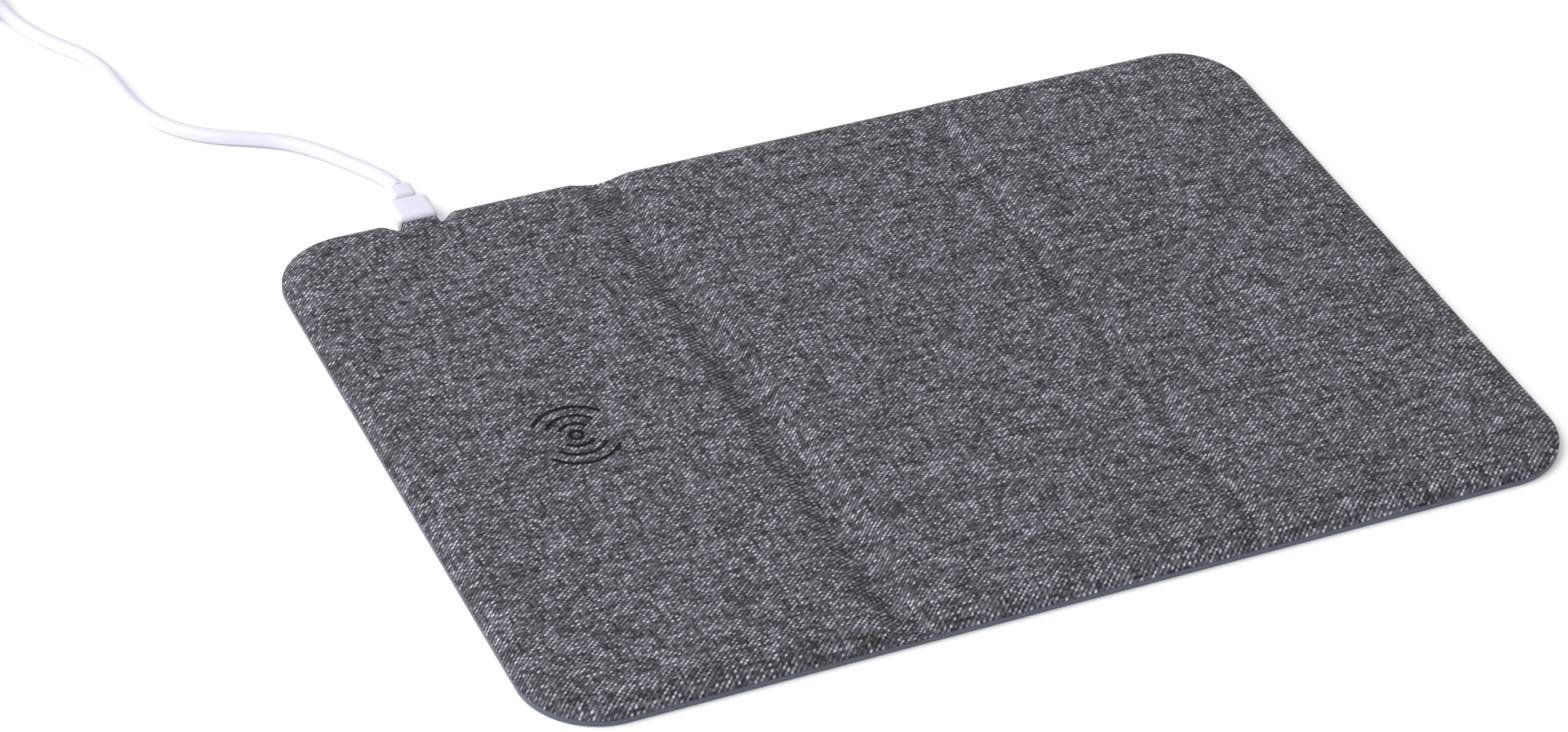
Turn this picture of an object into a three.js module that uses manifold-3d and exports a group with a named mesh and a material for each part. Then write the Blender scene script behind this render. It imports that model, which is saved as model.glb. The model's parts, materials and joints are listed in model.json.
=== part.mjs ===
// Foldable fabric desk mat with a built-in wireless charger and its USB cable.
// Millimetres, +Z up. The origin is under the centre of the mat, on the surface that it lies on.
import * as THREE from "three";
import { mergeVertices } from "three/addons/utils/BufferGeometryUtils.js";
import Module from "manifold-3d";

const wasm = await Module();
wasm.setup();

// ---- Driving dimensions ----

// The mat
const matWidth = 265;
const matDepth = 190.2;
const cornerRadius = 19;
const matThickness = 4.8;
const fabricThickness = 0.5;
const baseThickness = 0.6;
const rimHeight = 1.6;
const rimWidth = 1.6;
const shoulderWidth = 1.2;
const shoulderHeight = 2.4;
const coverInset = 0.1;
const coverSideWall = 1.3;
const chargerPanelWidth = 83.9;

// Creases: the height of their axes, and how they close
const creaseHeight = 1;
const creaseGap = 0.7;
const faceClearance = 0.4;
const edgeClearance = 0.45;

// Clearances
const gap = 0.25;
const plugGap = 0.3;

// Filling of the two plain panels
const boardThickness = 1;
const boardInset = 5;
const foamInset = 8;
const creaseInset = 4.5;

// Charger module
const coilFromLeft = 44.2;
const coilY = -2.4;
const coilOuterRadius = 23;
const coilInnerRadius = 10;
const coilThickness = 0.95;
const coilEdgeRound = 0.3;
const ferriteThickness = 0.5;
const ferriteMargin = 3;
const ferriteRadius = 2;
const traySideClearance = 2.8;
const trayFloor = 0.5;
const trayWall = 1.2;
const trayRadius = 6;
const trayMargin = 8;
const circuitBoardThickness = 0.8;
const circuitBoardWidth = 36;
const circuitBoardLength = 34;
const circuitBoardRadius = 1.5;

// What is on the circuit board: its place from the board's front edge and the port's centre
const controllerChip = { name: "controller_chip", place: [-6, 13], size: [5, 5, 0.6] };
const powerStageChip = { name: "power_stage_chip", place: [4, 12], size: [4, 4, 0.6] };
const inputInductor = { name: "input_inductor", place: [12.5, 20], size: [4.2, 4.2, 0.65] };
const clockCrystal = { name: "clock_crystal", place: [-13, 15], size: [3.2, 2.5, 0.5] };
const capacitor = { place: [-6, 4.5], size: [3.2, 2.5, 0.6] };
const capacitorCount = 3;
const capacitorPitch = 5;

// The coil's two leads
const leadRadius = 0.35;
const leadSpacing = 4;
const leadStraight = 6;
const outerLeadOffset = 8;

// USB-C port, its notch in the back edge, and its plug
const portFromLeft = 40.5;
const portLength = 7.3;
const portWidth = 8.94;
const portHeight = 3.16;
const portWall = 0.25;
const tongueWidth = 6.7;
const tongueThickness = 0.7;
const tongueLength = 4.8;
const tongueBlockLength = 1.6;
const tongueBlockSlack = 0.15;
const tongueRootDepth = 0.2;
const notchDepth = 3.1;
const notchBase = 6.1;
const notchMouth = 9.8;
const plugShellWall = 0.3;
const plugShellSlack = 0.1;
const plugShellInside = 5.1;
const plugWidth = 10.4;
const plugHeight = 5;
const plugLength = 9.5;
const plugEdge = 1.1;
const plugFootClearance = 0.05;
const plugSideFlat = 0.2;
const collarWidth = 6.3;
const collarHeight = 4.9;
const collarLength = 5.6;
const collarEdge = 0.9;

// The cable
const cordRadius = 1.9;
const cordPoints = [
  [-92, 107.95, 2.55],
  [-92.2, 110.6, 2.5],
  [-93.5, 114.6, 2.2],
  [-96, 119.4, 1.95],
  [-99.8, 125.2, 1.9],
  [-105, 132.2, 1.9],
  [-111.5, 138.6, 1.9],
  [-118.8, 142.9, 1.9],
  [-125.8, 146.5, 1.9],
  [-132.8, 151.7, 1.9],
  [-138.3, 158.7, 1.9],
  [-141.5, 167.5, 1.9],
  [-142.9, 177.1, 1.9],
  [-143.9, 185.5, 1.9],
  [-146.8, 193.8, 1.9],
  [-151.3, 200.6, 1.9],
  [-156, 208.5, 1.95],
  [-159.6, 218, 2.2],
  [-161.1, 228, 2.5],
  [-161.2, 238, 2.65],
];
const tailPoints = [
  [-212.4, 238, 6.45],
  [-212.4, 230, 6.1],
  [-212.4, 222, 5],
  [-212.4, 214, 3.95],
];
const coilCentre = [-186.8, 238];
const turnRadiusOuter = 25.6;
const turnRadiusInner = 13.6;
const coilLayers = 2;
const tieThickness = 0.5;
const tieWidth = 6;
const tieAngle = 100;
const coilRingRound = 1;
const cordSides = 8;
const cordSteps = 22;
const tailSteps = 5;

// USB-A plug on the cable's far end
const farPlugWidth = 15.6;
const farPlugHeight = 7.8;
const farPlugLength = 23.5;
const farPlugRadius = 2.6;
const farPlugEdge = 0.9;
const farCollarRadius = 3;
const farCollarLength = 8.6;
const farCollarStraight = 2;
const farCollarLip = 0.5;
const farShellWidth = 12;
const farShellHeight = 4.5;
const farShellLength = 12;
const farShellWall = 0.3;
const farTongueThickness = 1.9;
const farTongueSetBack = 0.6;

// How far a cutting tool runs on past what it cuts
const beyond = 1;

// ---- Sizes that follow from them ----

const fabricTop = matThickness;
const fabricUnderside = matThickness - fabricThickness;
const coreFloor = baseThickness + gap;
const coreTop = fabricUnderside - gap;
const coverFoot = rimHeight + gap;
const spineFabricTop = baseThickness + gap + fabricThickness;
const plugTop = plugFootClearance + plugHeight;

// Folded flat, a spine stands on end beside the layers that it goes round.
const narrowSpineWidth = 2 * (fabricTop - creaseHeight) + faceClearance;
const wideSpineWidth = plugTop + edgeClearance + narrowSpineWidth;
const tuck = spineFabricTop - creaseHeight + edgeClearance;
const plainWidth = matWidth - chargerPanelWidth - wideSpineWidth - narrowSpineWidth;
const middlePanelWidth = (plainWidth + tuck) / 2;

const leftEdge = -matWidth / 2;
const rightEdge = matWidth / 2;
const frontEdge = -matDepth / 2;
const backEdge = matDepth / 2;
const wideCreaseA = leftEdge + chargerPanelWidth;
const wideCreaseB = wideCreaseA + wideSpineWidth;
const narrowCreaseA = wideCreaseB + middlePanelWidth;
const narrowCreaseB = narrowCreaseA + narrowSpineWidth;

const portX = leftEdge + portFromLeft;
const notchFloor = backEdge - notchDepth;
const portMouth = notchFloor - plugGap;
const portRear = portMouth - portLength;
const portZ = coreFloor + portHeight / 2;

const coilX = leftEdge + coilFromLeft;
const coilBottom = coreFloor + trayFloor + gap + ferriteThickness + gap;
const coilTop = coilBottom + coilThickness;
const lidBottom = coilTop + gap;
const trayWidth = 2 * (coilOuterRadius + ferriteMargin + traySideClearance + trayWall);
const trayFront = coilY - coilOuterRadius - ferriteMargin - trayMargin;
const trayBack = notchFloor - rimWidth - shoulderWidth;
const circuitBoardBack = trayBack - trayWall - gap;
const circuitBoardFront = circuitBoardBack - circuitBoardLength;

// ---- Materials ----

function finish(color, roughness, metalness = 0) {
  return new THREE.MeshStandardMaterial({ color, roughness, metalness });
}

const greyFabric = () => finish(0x5d5d66, 0.95);
const slateSheet = () => finish(0x565a6e, 0.6);
const blackFoam = () => finish(0x26272a, 0.95);
const greyBoard = () => finish(0x8a8173, 0.9);
const blackPlastic = () => finish(0x1d1e21, 0.5);
const ferrite = () => finish(0x2f2f33, 0.7);
const copper = () => finish(0xb8703a, 0.4, 0.9);
const greenBoard = () => finish(0x1f5a3a, 0.55);
const chipResin = () => finish(0x18181a, 0.6);
const ceramic = () => finish(0xa88a62, 0.6);
const steel = () => finish(0xb9bcc2, 0.3, 1);
const whitePlastic = () => finish(0xf1f1f6, 0.4);

// ---- Solid helpers ----

const mat = new THREE.Group();

function solidOf(geometry) {
  const bare = geometry.clone();
  bare.deleteAttribute("normal");
  bare.deleteAttribute("uv");
  const merged = mergeVertices(bare, 1e-4);
  const triVerts = [];
  for (let i = 0; i < merged.index.count; i += 3) {
    const [a, b, c] = [0, 1, 2].map((k) => merged.index.getX(i + k));
    if (a !== b && b !== c && c !== a) triVerts.push(a, b, c);
  }
  return new wasm.Manifold(
    new wasm.Mesh({
      numProp: 3,
      vertProperties: new Float32Array(merged.attributes.position.array),
      triVerts: new Uint32Array(triVerts),
    }),
  );
}

function geometryOf(solid) {
  const mesh = solid.getMesh();
  const geometry = new THREE.BufferGeometry();
  geometry.setAttribute("position", new THREE.BufferAttribute(mesh.vertProperties, 3));
  geometry.setIndex(new THREE.BufferAttribute(mesh.triVerts, 1));
  geometry.computeVertexNormals();
  return geometry;
}

function cut(geometry, ...tools) {
  return geometryOf(tools.reduce((body, tool) => body.subtract(solidOf(tool)), solidOf(geometry)));
}

function join(geometry, ...others) {
  return geometryOf(others.reduce((body, other) => body.add(solidOf(other)), solidOf(geometry)));
}

function part(name, geometry, material) {
  const mesh = new THREE.Mesh(geometry, material);
  mesh.name = name;
  mat.add(mesh);
  return mesh;
}

// A box between two corners.
function block(low, high) {
  const size = high.map((v, i) => v - low[i]);
  const middle = high.map((v, i) => (v + low[i]) / 2);
  return new THREE.BoxGeometry(...size).translate(...middle);
}

// An outline as straight steps, with no step too short to have a direction.
function stepped(shape, divisions) {
  const points = shape.getPoints(divisions);
  const kept = points.filter((p, i) => p.distanceTo(points[(i + 1) % points.length]) > 1e-4);
  const outline = new THREE.Shape(kept);
  outline.holes = shape.holes;
  return outline;
}

// A flat outline made thick, from one height to another.
function slab(shape, bottom, top) {
  return new THREE.ExtrudeGeometry(stepped(shape, 8), {
    depth: top - bottom,
    bevelEnabled: false,
  }).translate(0, 0, bottom);
}

// A slab whose upper edge is rounded over a shoulder.
function pillow(shape, bottom, top, width, height) {
  const body = new THREE.ExtrudeGeometry(stepped(shape, 8), {
    depth: top - bottom,
    bevelThickness: height,
    bevelSize: width,
    bevelOffset: -width,
    bevelSegments: 3,
  }).translate(0, 0, bottom - height);
  const below = block(
    [leftEdge - beyond, frontEdge - beyond, bottom - 2 * height - beyond],
    [rightEdge + beyond, backEdge + beyond, bottom],
  );
  return cut(body, below);
}

function roundedRectangle(width, height, radius) {
  const [w, h, r] = [width / 2, height / 2, radius];
  const shape = new THREE.Shape();
  shape.moveTo(-w + r, -h);
  shape.lineTo(w - r, -h);
  shape.absarc(w - r, -h + r, r, -Math.PI / 2, 0);
  shape.lineTo(w, h - r);
  shape.absarc(w - r, h - r, r, 0, Math.PI / 2);
  shape.lineTo(-w + r, h);
  shape.absarc(-w + r, h - r, r, Math.PI / 2, Math.PI);
  shape.lineTo(-w, -h + r);
  shape.absarc(-w + r, -h + r, r, Math.PI, Math.PI * 1.5);
  return shape;
}

function rectangle(x0, x1, y0, y1, radius) {
  const shape = roundedRectangle(x1 - x0, y1 - y0, radius);
  const points = shape.getPoints(6);
  const [cx, cy] = [(x0 + x1) / 2, (y0 + y1) / 2];
  return new THREE.Shape(points.map((p) => new THREE.Vector2(p.x + cx, p.y + cy)));
}

// A bar of constant section lying along Y, centred on x and z.
function bar(shape, x, z, y0, y1, edge = 0) {
  return new THREE.ExtrudeGeometry(stepped(shape, 5), {
    depth: y1 - y0 - 2 * edge,
    bevelEnabled: edge > 0,
    bevelThickness: edge,
    bevelSize: edge,
    bevelOffset: -edge,
    bevelSegments: 3,
  })
    .rotateX(-Math.PI / 2)
    .translate(x, y0 + edge, z);
}

// The flat that a fully rounded end keeps, so that its two arcs don't share a point.
const fullRoundFlat = 0.01;

// A tube of constant wall lying along Y.
function sleeve(width, height, wall, x, z, y0, y1) {
  const outer = roundedRectangle(width, height, height / 2 - fullRoundFlat);
  const innerHeight = height - 2 * wall;
  const inner = roundedRectangle(width - 2 * wall, innerHeight, innerHeight / 2 - fullRoundFlat);
  outer.holes.push(new THREE.Path(inner.getPoints(5)));
  return bar(outer, x, z, y0, y1);
}

// A round bar that follows a curve through points.
function strand(points, radius, sides, steps) {
  const section = new THREE.Shape();
  for (let i = 0; i < sides; i += 1) {
    const angle = (2 * Math.PI * (i + 0.5)) / sides;
    const point = [radius * Math.cos(angle), radius * Math.sin(angle)];
    if (i === 0) section.moveTo(...point);
    else section.lineTo(...point);
  }
  section.closePath();
  const path = new THREE.CatmullRomCurve3(points.map((p) => new THREE.Vector3(...p)));
  return new THREE.ExtrudeGeometry(section, { extrudePath: path, steps });
}

// A turned piece about a vertical axis, from a closed outline of [radius, height] points.
function ringAbout(x, y, outline, segments) {
  const points = [...outline, outline[0]].map((p) => new THREE.Vector2(...p));
  return new THREE.LatheGeometry(points, segments)
    .rotateX(Math.PI / 2)
    .translate(x, y, 0);
}

// ---- Panels ----

const panels = {
  charger: { left: leftEdge, right: wideCreaseA, roundLeft: true, notched: true },
  middle: { left: wideCreaseB, right: narrowCreaseA },
  end: { left: narrowCreaseB, right: rightEdge, roundRight: true },
};

// A panel seen from above, drawn in by one inset along the mat's edge and by another at a crease.
function panelOutline(panel, edgeInset, endInset) {
  const left = panel.left + (panel.roundLeft ? edgeInset : endInset);
  const right = panel.right - (panel.roundRight ? edgeInset : endInset);
  const front = frontEdge + edgeInset;
  const back = backEdge - edgeInset;
  const rLeft = panel.roundLeft ? cornerRadius - edgeInset : 0;
  const rRight = panel.roundRight ? cornerRadius - edgeInset : 0;
  const shape = new THREE.Shape();
  shape.moveTo(left + rLeft, front);
  shape.lineTo(right - rRight, front);
  if (rRight) shape.absarc(right - rRight, front + rRight, rRight, -Math.PI / 2, 0);
  shape.lineTo(right, back - rRight);
  if (rRight) shape.absarc(right - rRight, back - rRight, rRight, 0, Math.PI / 2);
  if (panel.notched) drawNotch(shape, back, edgeInset);
  shape.lineTo(left + rLeft, back);
  if (rLeft) shape.absarc(left + rLeft, back - rLeft, rLeft, Math.PI / 2, Math.PI);
  shape.lineTo(left, front + rLeft);
  if (rLeft) shape.absarc(left + rLeft, front + rLeft, rLeft, Math.PI, Math.PI * 1.5);
  return shape;
}

// The recess that the plug sits in, with sides that curve in from the edge to its floor.
function drawNotch(shape, back, inset) {
  const floor = notchFloor - inset;
  const mouth = notchMouth + inset;
  const base = notchBase + inset;
  const turn = (mouth - base) * 0.55;
  shape.lineTo(portX + mouth, back);
  shape.bezierCurveTo(portX + mouth - turn, back, portX + base + turn, floor, portX + base, floor);
  shape.lineTo(portX - base, floor);
  shape.bezierCurveTo(portX - base - turn, floor, portX - mouth + turn, back, portX - mouth, back);
}

// The room that the port takes in whatever stands round it.
function portRoom(bottom, top) {
  const half = portWidth / 2 + plugGap;
  return block([portX - half, portRear - plugGap, bottom], [portX + half, backEdge + beyond, top]);
}

function baseSheet(panel) {
  const well = { ...panel };
  if (!panel.roundLeft) well.left = panel.left - beyond;
  if (!panel.roundRight) well.right = panel.right + beyond;
  const outer = slab(panelOutline(panel, 0, creaseGap), 0, rimHeight);
  const inner = slab(panelOutline(well, rimWidth, 0), baseThickness, rimHeight + beyond);
  return cut(outer, inner);
}

function fabricCover(panel) {
  const outer = pillow(
    panelOutline(panel, coverInset, creaseGap),
    coverFoot,
    fabricTop,
    shoulderWidth,
    shoulderHeight,
  );
  const inner = pillow(
    panelOutline(panel, coverInset + coverSideWall, creaseGap + fabricThickness),
    coverFoot - beyond,
    fabricUnderside,
    shoulderWidth - fabricThickness / 2,
    shoulderHeight,
  );
  return cut(outer, inner);
}

function plainPanel(name, panel) {
  part(name + "_base_sheet", baseSheet(panel), slateSheet());
  part(
    name + "_stiffener_board",
    slab(panelOutline(panel, boardInset, creaseInset), coreFloor, coreFloor + boardThickness),
    greyBoard(),
  );
  part(
    name + "_foam_pad",
    slab(panelOutline(panel, foamInset, creaseInset), coreFloor + boardThickness + gap, coreTop),
    blackFoam(),
  );
  part(name + "_fabric_cover", fabricCover(panel), greyFabric());
}

function spine(name, left, right) {
  const [x0, x1] = [left + creaseGap, right - creaseGap];
  part(name + "_base_sheet", block([x0, frontEdge, 0], [x1, backEdge, baseThickness]), slateSheet());
  part(
    name + "_fabric",
    block(
      [x0, frontEdge + coverInset, baseThickness + gap],
      [x1, backEdge - coverInset, spineFabricTop],
    ),
    greyFabric(),
  );
}

// ---- Charger panel ----

function chargerShell() {
  const panel = panels.charger;
  part(
    "charger_base_sheet",
    cut(baseSheet(panel), portRoom(baseThickness, rimHeight + beyond)),
    slateSheet(),
  );
  part(
    "charger_fabric_cover",
    cut(fabricCover(panel), portRoom(coverFoot - beyond, fabricUnderside)),
    greyFabric(),
  );
  const core = slab(
    panelOutline({ ...panel, notched: false }, foamInset, creaseInset),
    coreFloor,
    coreTop,
  );
  const hollow = slab(trayOutline(gap, trayMargin), coreFloor - beyond, coreTop + beyond);
  part("charger_foam_frame", cut(core, hollow), blackFoam());
}

// The tray's outline, grown on every side, and further at the back where that is asked for.
function trayOutline(grow, extraBack = 0) {
  const half = trayWidth / 2 + grow;
  return rectangle(
    coilX - half,
    coilX + half,
    trayFront - grow,
    trayBack + grow + extraBack,
    trayRadius + grow,
  );
}

function chargerCase() {
  const room = portRoom(coreFloor - beyond, coreTop + beyond);
  const outer = slab(trayOutline(0), coreFloor, lidBottom - gap);
  const inner = slab(trayOutline(-trayWall), coreFloor + trayFloor, lidBottom + beyond);
  part("charger_tray", cut(outer, inner, room), blackPlastic());
  part("charger_lid", cut(slab(trayOutline(0), lidBottom, coreTop), room), blackPlastic());
}

function chargingCoil() {
  const ferriteBottom = coreFloor + trayFloor + gap;
  const half = coilOuterRadius + ferriteMargin;
  const sheet = slab(
    rectangle(coilX - half, coilX + half, coilY - half, coilY + half, ferriteRadius),
    ferriteBottom,
    ferriteBottom + ferriteThickness,
  );
  const slotWidth = leadRadius + plugGap;
  const slot = block(
    [coilX - slotWidth, coilY, ferriteBottom - beyond],
    [coilX + slotWidth, coilY + half + beyond, coilBottom],
  );
  part("ferrite_sheet", cut(sheet, slot), ferrite());
  part(
    "charging_coil",
    ringAbout(
      coilX,
      coilY,
      [
        [coilInnerRadius, coilBottom],
        [coilOuterRadius, coilBottom],
        [coilOuterRadius, coilTop - coilEdgeRound],
        [coilOuterRadius - coilEdgeRound, coilTop],
        [coilInnerRadius + coilEdgeRound, coilTop],
        [coilInnerRadius, coilTop - coilEdgeRound],
      ],
      56,
    ),
    copper(),
  );
  const leadEnd = circuitBoardFront - gap;
  const low = ferriteBottom + leadRadius;
  const edge = coilY + half;
  part(
    "coil_inner_lead",
    strand(
      [
        [coilX, coilY + coilInnerRadius / 2, low],
        [coilX, coilY + coilOuterRadius, low],
        [coilX, edge + leadSpacing, low],
        [coilX - leadSpacing, leadEnd - leadStraight, low],
        [coilX - leadSpacing, leadEnd, low],
      ],
      leadRadius,
      6,
      12,
    ),
    copper(),
  );
  const high = coilBottom + coilThickness / 2;
  const farSide = outerLeadOffset - leadRadius;
  const outerLeadStart = coilY + Math.sqrt(coilOuterRadius ** 2 - farSide ** 2) + gap;
  part(
    "coil_outer_lead",
    strand(
      [
        [coilX + outerLeadOffset, outerLeadStart, high],
        [coilX + outerLeadOffset, edge, high],
        [coilX + leadSpacing, leadEnd - leadStraight, low],
        [coilX + leadSpacing, leadEnd, low],
      ],
      leadRadius,
      6,
      10,
    ),
    copper(),
  );
}

function circuitBoard() {
  const [front, back] = [circuitBoardFront, circuitBoardBack];
  const bottom = coreFloor + trayFloor + gap;
  const top = bottom + circuitBoardThickness;
  const half = circuitBoardWidth / 2;
  const outline = rectangle(portX - half, portX + half, front, back, circuitBoardRadius);
  const board = slab(outline, bottom, top);
  part("circuit_board", cut(board, portRoom(bottom - beyond, top + beyond)), greenBoard());
  const seat = top + gap;
  const roof = lidBottom - gap;
  const onBoard = ({ name, place, size }, material) => {
    const [x, y] = [portX + place[0], front + place[1]];
    const [w, l] = [size[0] / 2, size[1] / 2];
    const high = Math.min(seat + size[2], roof);
    part(name, block([x - w, y - l, seat], [x + w, y + l, high]), material);
  };
  onBoard(controllerChip, chipResin());
  onBoard(powerStageChip, chipResin());
  onBoard(inputInductor, ferrite());
  onBoard(clockCrystal, steel());
  for (let i = 0; i < capacitorCount; i += 1) {
    const [x, y] = capacitor.place;
    const copy = { name: "resonant_capacitor_" + (i + 1), size: capacitor.size };
    onBoard({ ...copy, place: [x + capacitorPitch * i, y] }, ceramic());
  }
}

function usbPort() {
  part(
    "usb_c_socket_shell",
    sleeve(portWidth, portHeight, portWall, portX, portZ, portRear, portMouth),
    steel(),
  );
  const blockInset = 2 * (portWall + tongueBlockSlack);
  const [blockWidth, blockHeight] = [portWidth - blockInset, portHeight - blockInset];
  const blockRear = portRear + tongueBlockSlack;
  const blockFace = blockRear + tongueBlockLength;
  const rear = bar(
    roundedRectangle(blockWidth, blockHeight, blockHeight / 2 - fullRoundFlat),
    portX,
    portZ,
    blockRear,
    blockFace,
  );
  const tongueRoot = blockFace - tongueRootDepth;
  const tongue = block(
    [portX - tongueWidth / 2, tongueRoot, portZ - tongueThickness / 2],
    [portX + tongueWidth / 2, tongueRoot + tongueLength, portZ + tongueThickness / 2],
  );
  part("usb_c_socket_tongue", join(rear, tongue), blackPlastic());
}

// ---- Cable ----

const cordZ = plugFootClearance + plugHeight / 2;
const plugFace = notchFloor + plugGap;
const plugBack = plugFace + plugLength;

// A turned collar lying along Y, from a list of [radius, distance along Y] points.
function collar(x, z, outline) {
  const points = outline.map((p) => new THREE.Vector2(...p));
  return new THREE.LatheGeometry(points, 20).translate(x, 0, z);
}

function nearPlug() {
  const shellWidth = portWidth - 2 * (portWall + plugShellSlack);
  const shellHeight = portHeight - 2 * (portWall + plugShellSlack);
  part(
    "usb_c_plug_shell",
    sleeve(
      shellWidth,
      shellHeight,
      plugShellWall,
      portX,
      portZ,
      portMouth - plugShellInside,
      plugFace - gap,
    ),
    steel(),
  );
  part(
    "usb_c_overmold",
    bar(
      roundedRectangle(plugWidth, plugHeight, plugHeight / 2 - plugSideFlat),
      portX,
      cordZ,
      plugFace,
      plugBack,
      plugEdge,
    ),
    whitePlastic(),
  );
  const start = plugBack + gap;
  part(
    "usb_c_collar",
    bar(
      roundedRectangle(collarWidth, collarHeight, collarHeight / 2 - plugSideFlat),
      portX,
      cordZ,
      start,
      start + collarLength,
      collarEdge,
    ),
    whitePlastic(),
  );
}

const coilBase = tieThickness + gap;
const coilHeight = 2 * cordRadius * coilLayers;
const coilRingOuter = turnRadiusOuter + cordRadius;
const coilRingInner = turnRadiusInner - cordRadius;

function ringSection(inner, outer, bottom, top, round) {
  return [
    [inner + round, bottom],
    [outer - round, bottom],
    [outer, bottom + round],
    [outer, top - round],
    [outer - round, top],
    [inner + round, top],
    [inner, top - round],
    [inner, bottom + round],
  ];
}

// What clears the wound coil, so that a cord's end stops just short of it.
function coilRoom() {
  const reach = coilRingOuter + gap;
  return new THREE.CylinderGeometry(reach, reach, 2 * coilHeight + 2 * beyond, 64)
    .rotateX(Math.PI / 2)
    .translate(...coilCentre, coilHeight);
}

function cord() {
  const lead = strand(cordPoints, cordRadius, cordSides, cordSteps);
  part("usb_cord", cut(lead, coilRoom()), whitePlastic());
  part(
    "usb_cord_coil",
    ringAbout(
      ...coilCentre,
      ringSection(coilRingInner, coilRingOuter, coilBase, coilBase + coilHeight, coilRingRound),
      48,
    ),
    whitePlastic(),
  );
  const tail = strand(tailPoints, cordRadius, cordSides, tailSteps);
  part("usb_cord_tail", cut(tail, coilRoom()), whitePlastic());
}

function coilTie() {
  const half = tieWidth / 2;
  const low = Math.sqrt(coilRingInner ** 2 - half ** 2) - gap;
  const high = coilRingOuter + gap;
  const top = coilBase + coilHeight + gap;
  const outer = block(
    [low - tieThickness, -half, 0],
    [high + tieThickness, half, top + tieThickness],
  );
  const inner = block([low, -half - beyond, tieThickness], [high, half + beyond, top]);
  const band = part("coil_tie", cut(outer, inner), blackPlastic());
  band.position.set(...coilCentre, 0);
  band.rotation.z = THREE.MathUtils.degToRad(tieAngle);
}

function farPlug() {
  const [x, y, z] = tailPoints[tailPoints.length - 1];
  const collarBack = y - gap;
  const collarFront = collarBack - farCollarLength;
  part(
    "usb_a_collar",
    collar(x, z, [
      [0, collarFront],
      [farCollarRadius, collarFront],
      [farCollarRadius, collarFront + farCollarStraight],
      [cordRadius + farCollarLip, collarBack],
      [0, collarBack],
    ]),
    whitePlastic(),
  );
  const bodyBack = collarFront - gap;
  const bodyFront = bodyBack - farPlugLength;
  part(
    "usb_a_overmold",
    bar(
      roundedRectangle(farPlugWidth, farPlugHeight, farPlugRadius),
      x,
      z,
      bodyFront,
      bodyBack,
      farPlugEdge,
    ),
    whitePlastic(),
  );
  const shellBack = bodyFront - gap;
  const shellFront = shellBack - farShellLength;
  const [w, h, t] = [farShellWidth / 2, farShellHeight / 2, farShellWall];
  part(
    "usb_a_shell",
    cut(
      block([x - w, shellFront, z - h], [x + w, shellBack, z + h]),
      block(
        [x - w + t, shellFront - beyond, z - h + t],
        [x + w - t, shellBack + beyond, z + h - t],
      ),
    ),
    steel(),
  );
  const innerTop = z + h - t - gap;
  part(
    "usb_a_tongue",
    block(
      [x - w + t + gap, shellFront + farTongueSetBack, innerTop - farTongueThickness],
      [x + w - t - gap, shellBack, innerTop],
    ),
    whitePlastic(),
  );
}

// ---- Assembly ----

chargerShell();
chargerCase();
chargingCoil();
circuitBoard();
usbPort();
spine("wide_spine", wideCreaseA, wideCreaseB);
plainPanel("middle", panels.middle);
spine("narrow_spine", narrowCreaseA, narrowCreaseB);
plainPanel("end", panels.end);
nearPlug();
cord();
coilTie();
farPlug();

export default mat;
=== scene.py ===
import json
import math

import bmesh
import bpy
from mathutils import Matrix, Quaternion, Vector, noise


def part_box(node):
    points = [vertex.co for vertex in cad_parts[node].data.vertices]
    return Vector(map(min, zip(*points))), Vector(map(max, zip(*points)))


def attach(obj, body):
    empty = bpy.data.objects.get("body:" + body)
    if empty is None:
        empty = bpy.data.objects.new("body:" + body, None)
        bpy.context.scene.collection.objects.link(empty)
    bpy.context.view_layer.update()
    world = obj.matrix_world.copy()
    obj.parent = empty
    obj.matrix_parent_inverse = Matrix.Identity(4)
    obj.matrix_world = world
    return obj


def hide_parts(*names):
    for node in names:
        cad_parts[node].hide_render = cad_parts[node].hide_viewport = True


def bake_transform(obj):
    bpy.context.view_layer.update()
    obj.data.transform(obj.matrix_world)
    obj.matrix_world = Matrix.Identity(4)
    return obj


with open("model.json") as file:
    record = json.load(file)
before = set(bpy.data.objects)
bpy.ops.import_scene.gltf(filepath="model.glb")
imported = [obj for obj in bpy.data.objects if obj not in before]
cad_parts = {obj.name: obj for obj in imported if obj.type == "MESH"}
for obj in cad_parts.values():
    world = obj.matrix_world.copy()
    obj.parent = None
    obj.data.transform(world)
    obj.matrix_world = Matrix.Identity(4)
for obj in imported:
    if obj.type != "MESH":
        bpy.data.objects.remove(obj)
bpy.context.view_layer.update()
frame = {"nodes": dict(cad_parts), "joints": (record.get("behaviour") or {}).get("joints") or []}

# Metres throughout. A foldable desk mat: three stiff panels, two fold grooves, one cable.

baseLow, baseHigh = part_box("charger_base_sheet")

mat = {
    "left": baseLow.x,
    "right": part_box("end_base_sheet")[1].x,
    "halfDepth": baseHigh.y,
    "cornerRadius": 0.019,
    "top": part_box("charger_fabric_cover")[1].z,
    "rimTop": baseHigh.z,
    "sheetThickness": 0.0006,
    "rimWidth": 0.0015,
    "rimSlack": 0.00001,
    "edgeRound": 0.0003,
    "sheetSharpAngle": 50,
}
creases = {j["name"]: j["pos_m"][0] for j in frame["joints"] if j["type"] == "hinge"}
wideSeam = (creases["wide_crease_a"] + creases["wide_crease_b"]) / 2
middleSeam = (creases["wide_crease_b"] + creases["narrow_crease_a"]) / 2
narrowSeam = (creases["narrow_crease_a"] + creases["narrow_crease_b"]) / 2


# Camera

view = {
    "target": (-0.02952, 0.00959, 0.0),
    "azimuth": -25.721,
    "elevation": 37.577,
    "roll": 2.794,
    "distance": 1.13865,
    "lens": 108.61,
    "sensor": 36.0,
}


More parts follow.
